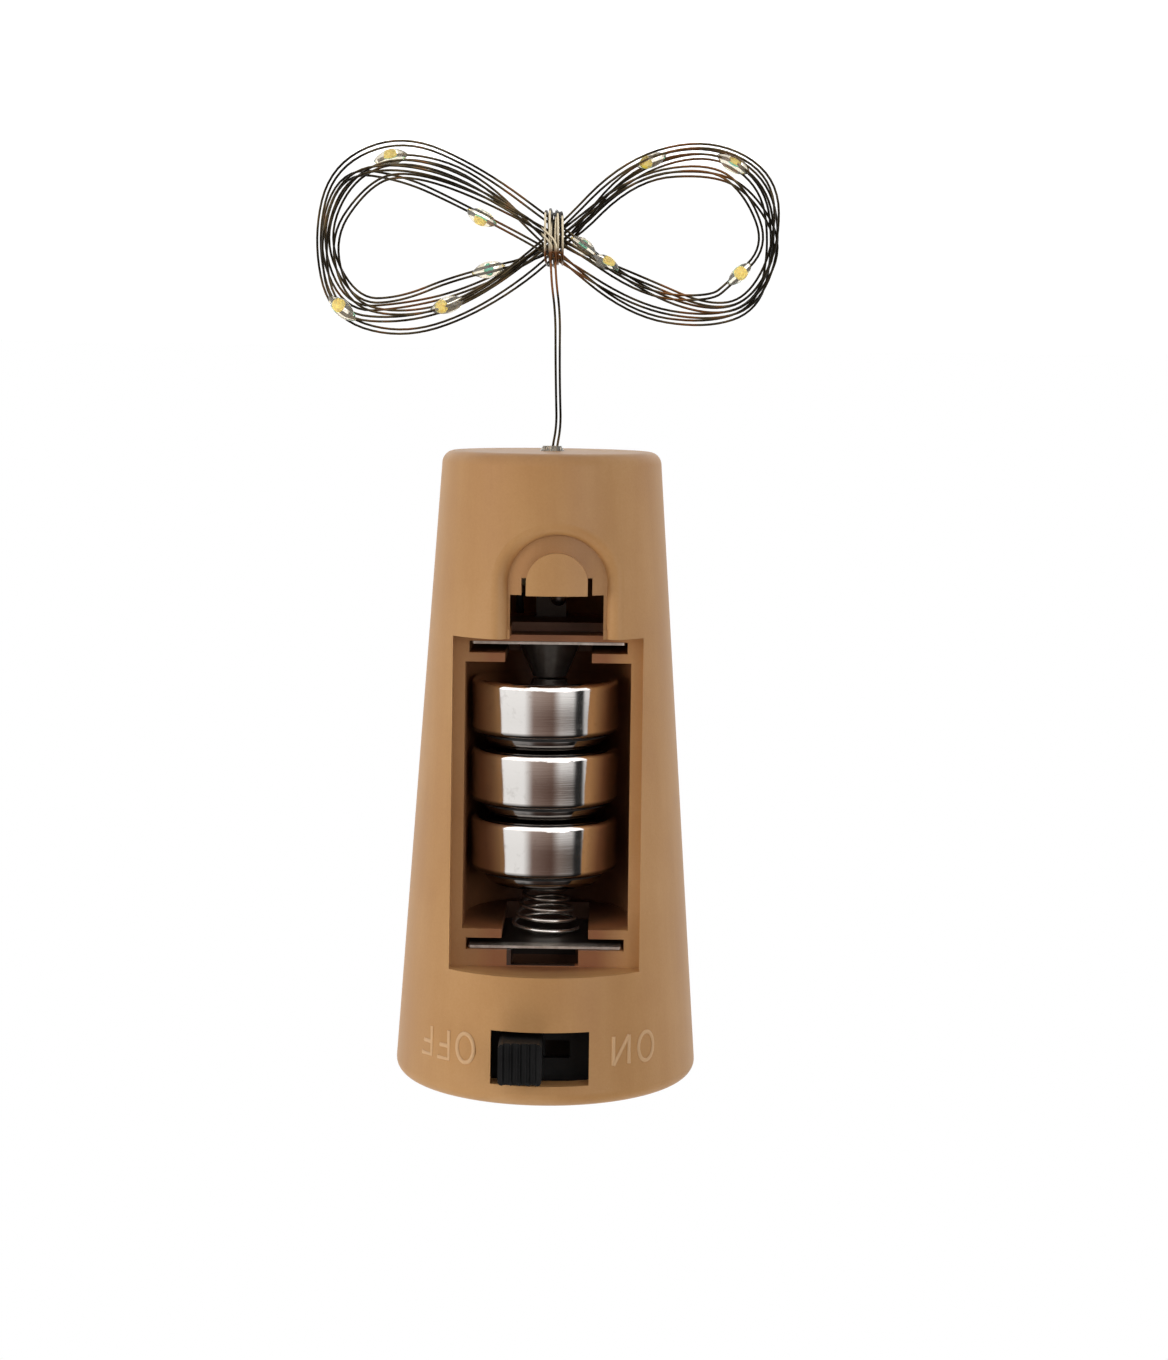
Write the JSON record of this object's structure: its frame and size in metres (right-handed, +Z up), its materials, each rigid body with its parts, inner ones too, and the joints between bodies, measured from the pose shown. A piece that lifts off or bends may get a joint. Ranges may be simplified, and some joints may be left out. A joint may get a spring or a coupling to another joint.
{
  "type": "cork bottle light",
  "caption": "Hollow tapered bottle stopper with an open bay of button cells, a slide switch and a fine wire of resin-bead lights bundled in a figure eight below its narrow end.",
  "frame": {"origin": "on the stopper's axis, in the plane of the bottle's mouth, 12 mm above its narrow end", "axes": "+Z up along the stopper's axis to its wide head, front with the battery bay towards -Y"},
  "size_m": [0.0359, 0.0252, 0.0732],
  "materials": {
    "cork_brown_plastic": "moulded, satin",
    "cell_steel": "bright nickel plate",
    "cell_gasket": "matt",
    "contact_nickel": "bright nickel plate",
    "black_plastic": "moulded, satin",
    "board_brown": "phenolic board",
    "pin_brass": "plain",
    "clear_resin": "clear drop",
    "black_sleeve": "shrunk sleeve",
    "resistor_lacquer": "lacquer",
    "lead_red": "insulation",
    "lead_black": "insulation",
    "solder": "bright",
    "fairy_wire": "fine lacquered wire",
    "phosphor": "yellow phosphor"
  },
  "bodies": {
    "stopper": {"stopper_body": "cork_brown_plastic", "end_cap": "cork_brown_plastic", "positive_contact": "contact_nickel", "negative_contact": "contact_nickel", "contact_spring": "contact_nickel", "switch_case": "black_plastic", "switch_base": "board_brown", "switch_terminals": "pin_brass", "wire_seal": "clear_resin", "splice_sleeve": "black_sleeve", "series_resistor": "resistor_lacquer", "lead_positive": "lead_red", "lead_resistor": "lead_red", "lead_switched": "lead_black", "lead_negative": "lead_black", "solder_joints": "solder", "fairy_wire_lead": "fairy_wire", "fairy_wire_hank": "fairy_wire", "led_beads": "clear_resin", "led_chips": "phosphor"},
    "switch_slider": {"switch_knob": "black_plastic", "switch_wiper": "pin_brass"},
    "cell_1": {"cell_can_1": "cell_steel", "cell_gasket_1": "cell_gasket", "cell_cap_1": "cell_steel"},
    "cell_2": {"cell_can_2": "cell_steel", "cell_gasket_2": "cell_gasket", "cell_cap_2": "cell_steel"},
    "cell_3": {"cell_can_3": "cell_steel", "cell_gasket_3": "cell_gasket", "cell_cap_3": "cell_steel"}
  },
  "joints": [
    {"name": "switch_slide", "type": "slide", "parent": "stopper", "child": "switch_slider", "axis": [-1, 0, 0], "range_m": [0, 0.0029]},
    {"name": "cell_1_lift_out", "type": "slide", "parent": "stopper", "child": "cell_1", "axis": [0, -1, 0], "range_m": [0, 0.016]},
    {"name": "cell_2_lift_out", "type": "slide", "parent": "stopper", "child": "cell_2", "axis": [0, -1, 0], "range_m": [0, 0.016]},
    {"name": "cell_3_lift_out", "type": "slide", "parent": "stopper", "child": "cell_3", "axis": [0, -1, 0], "range_m": [0, 0.016]}
  ]
}
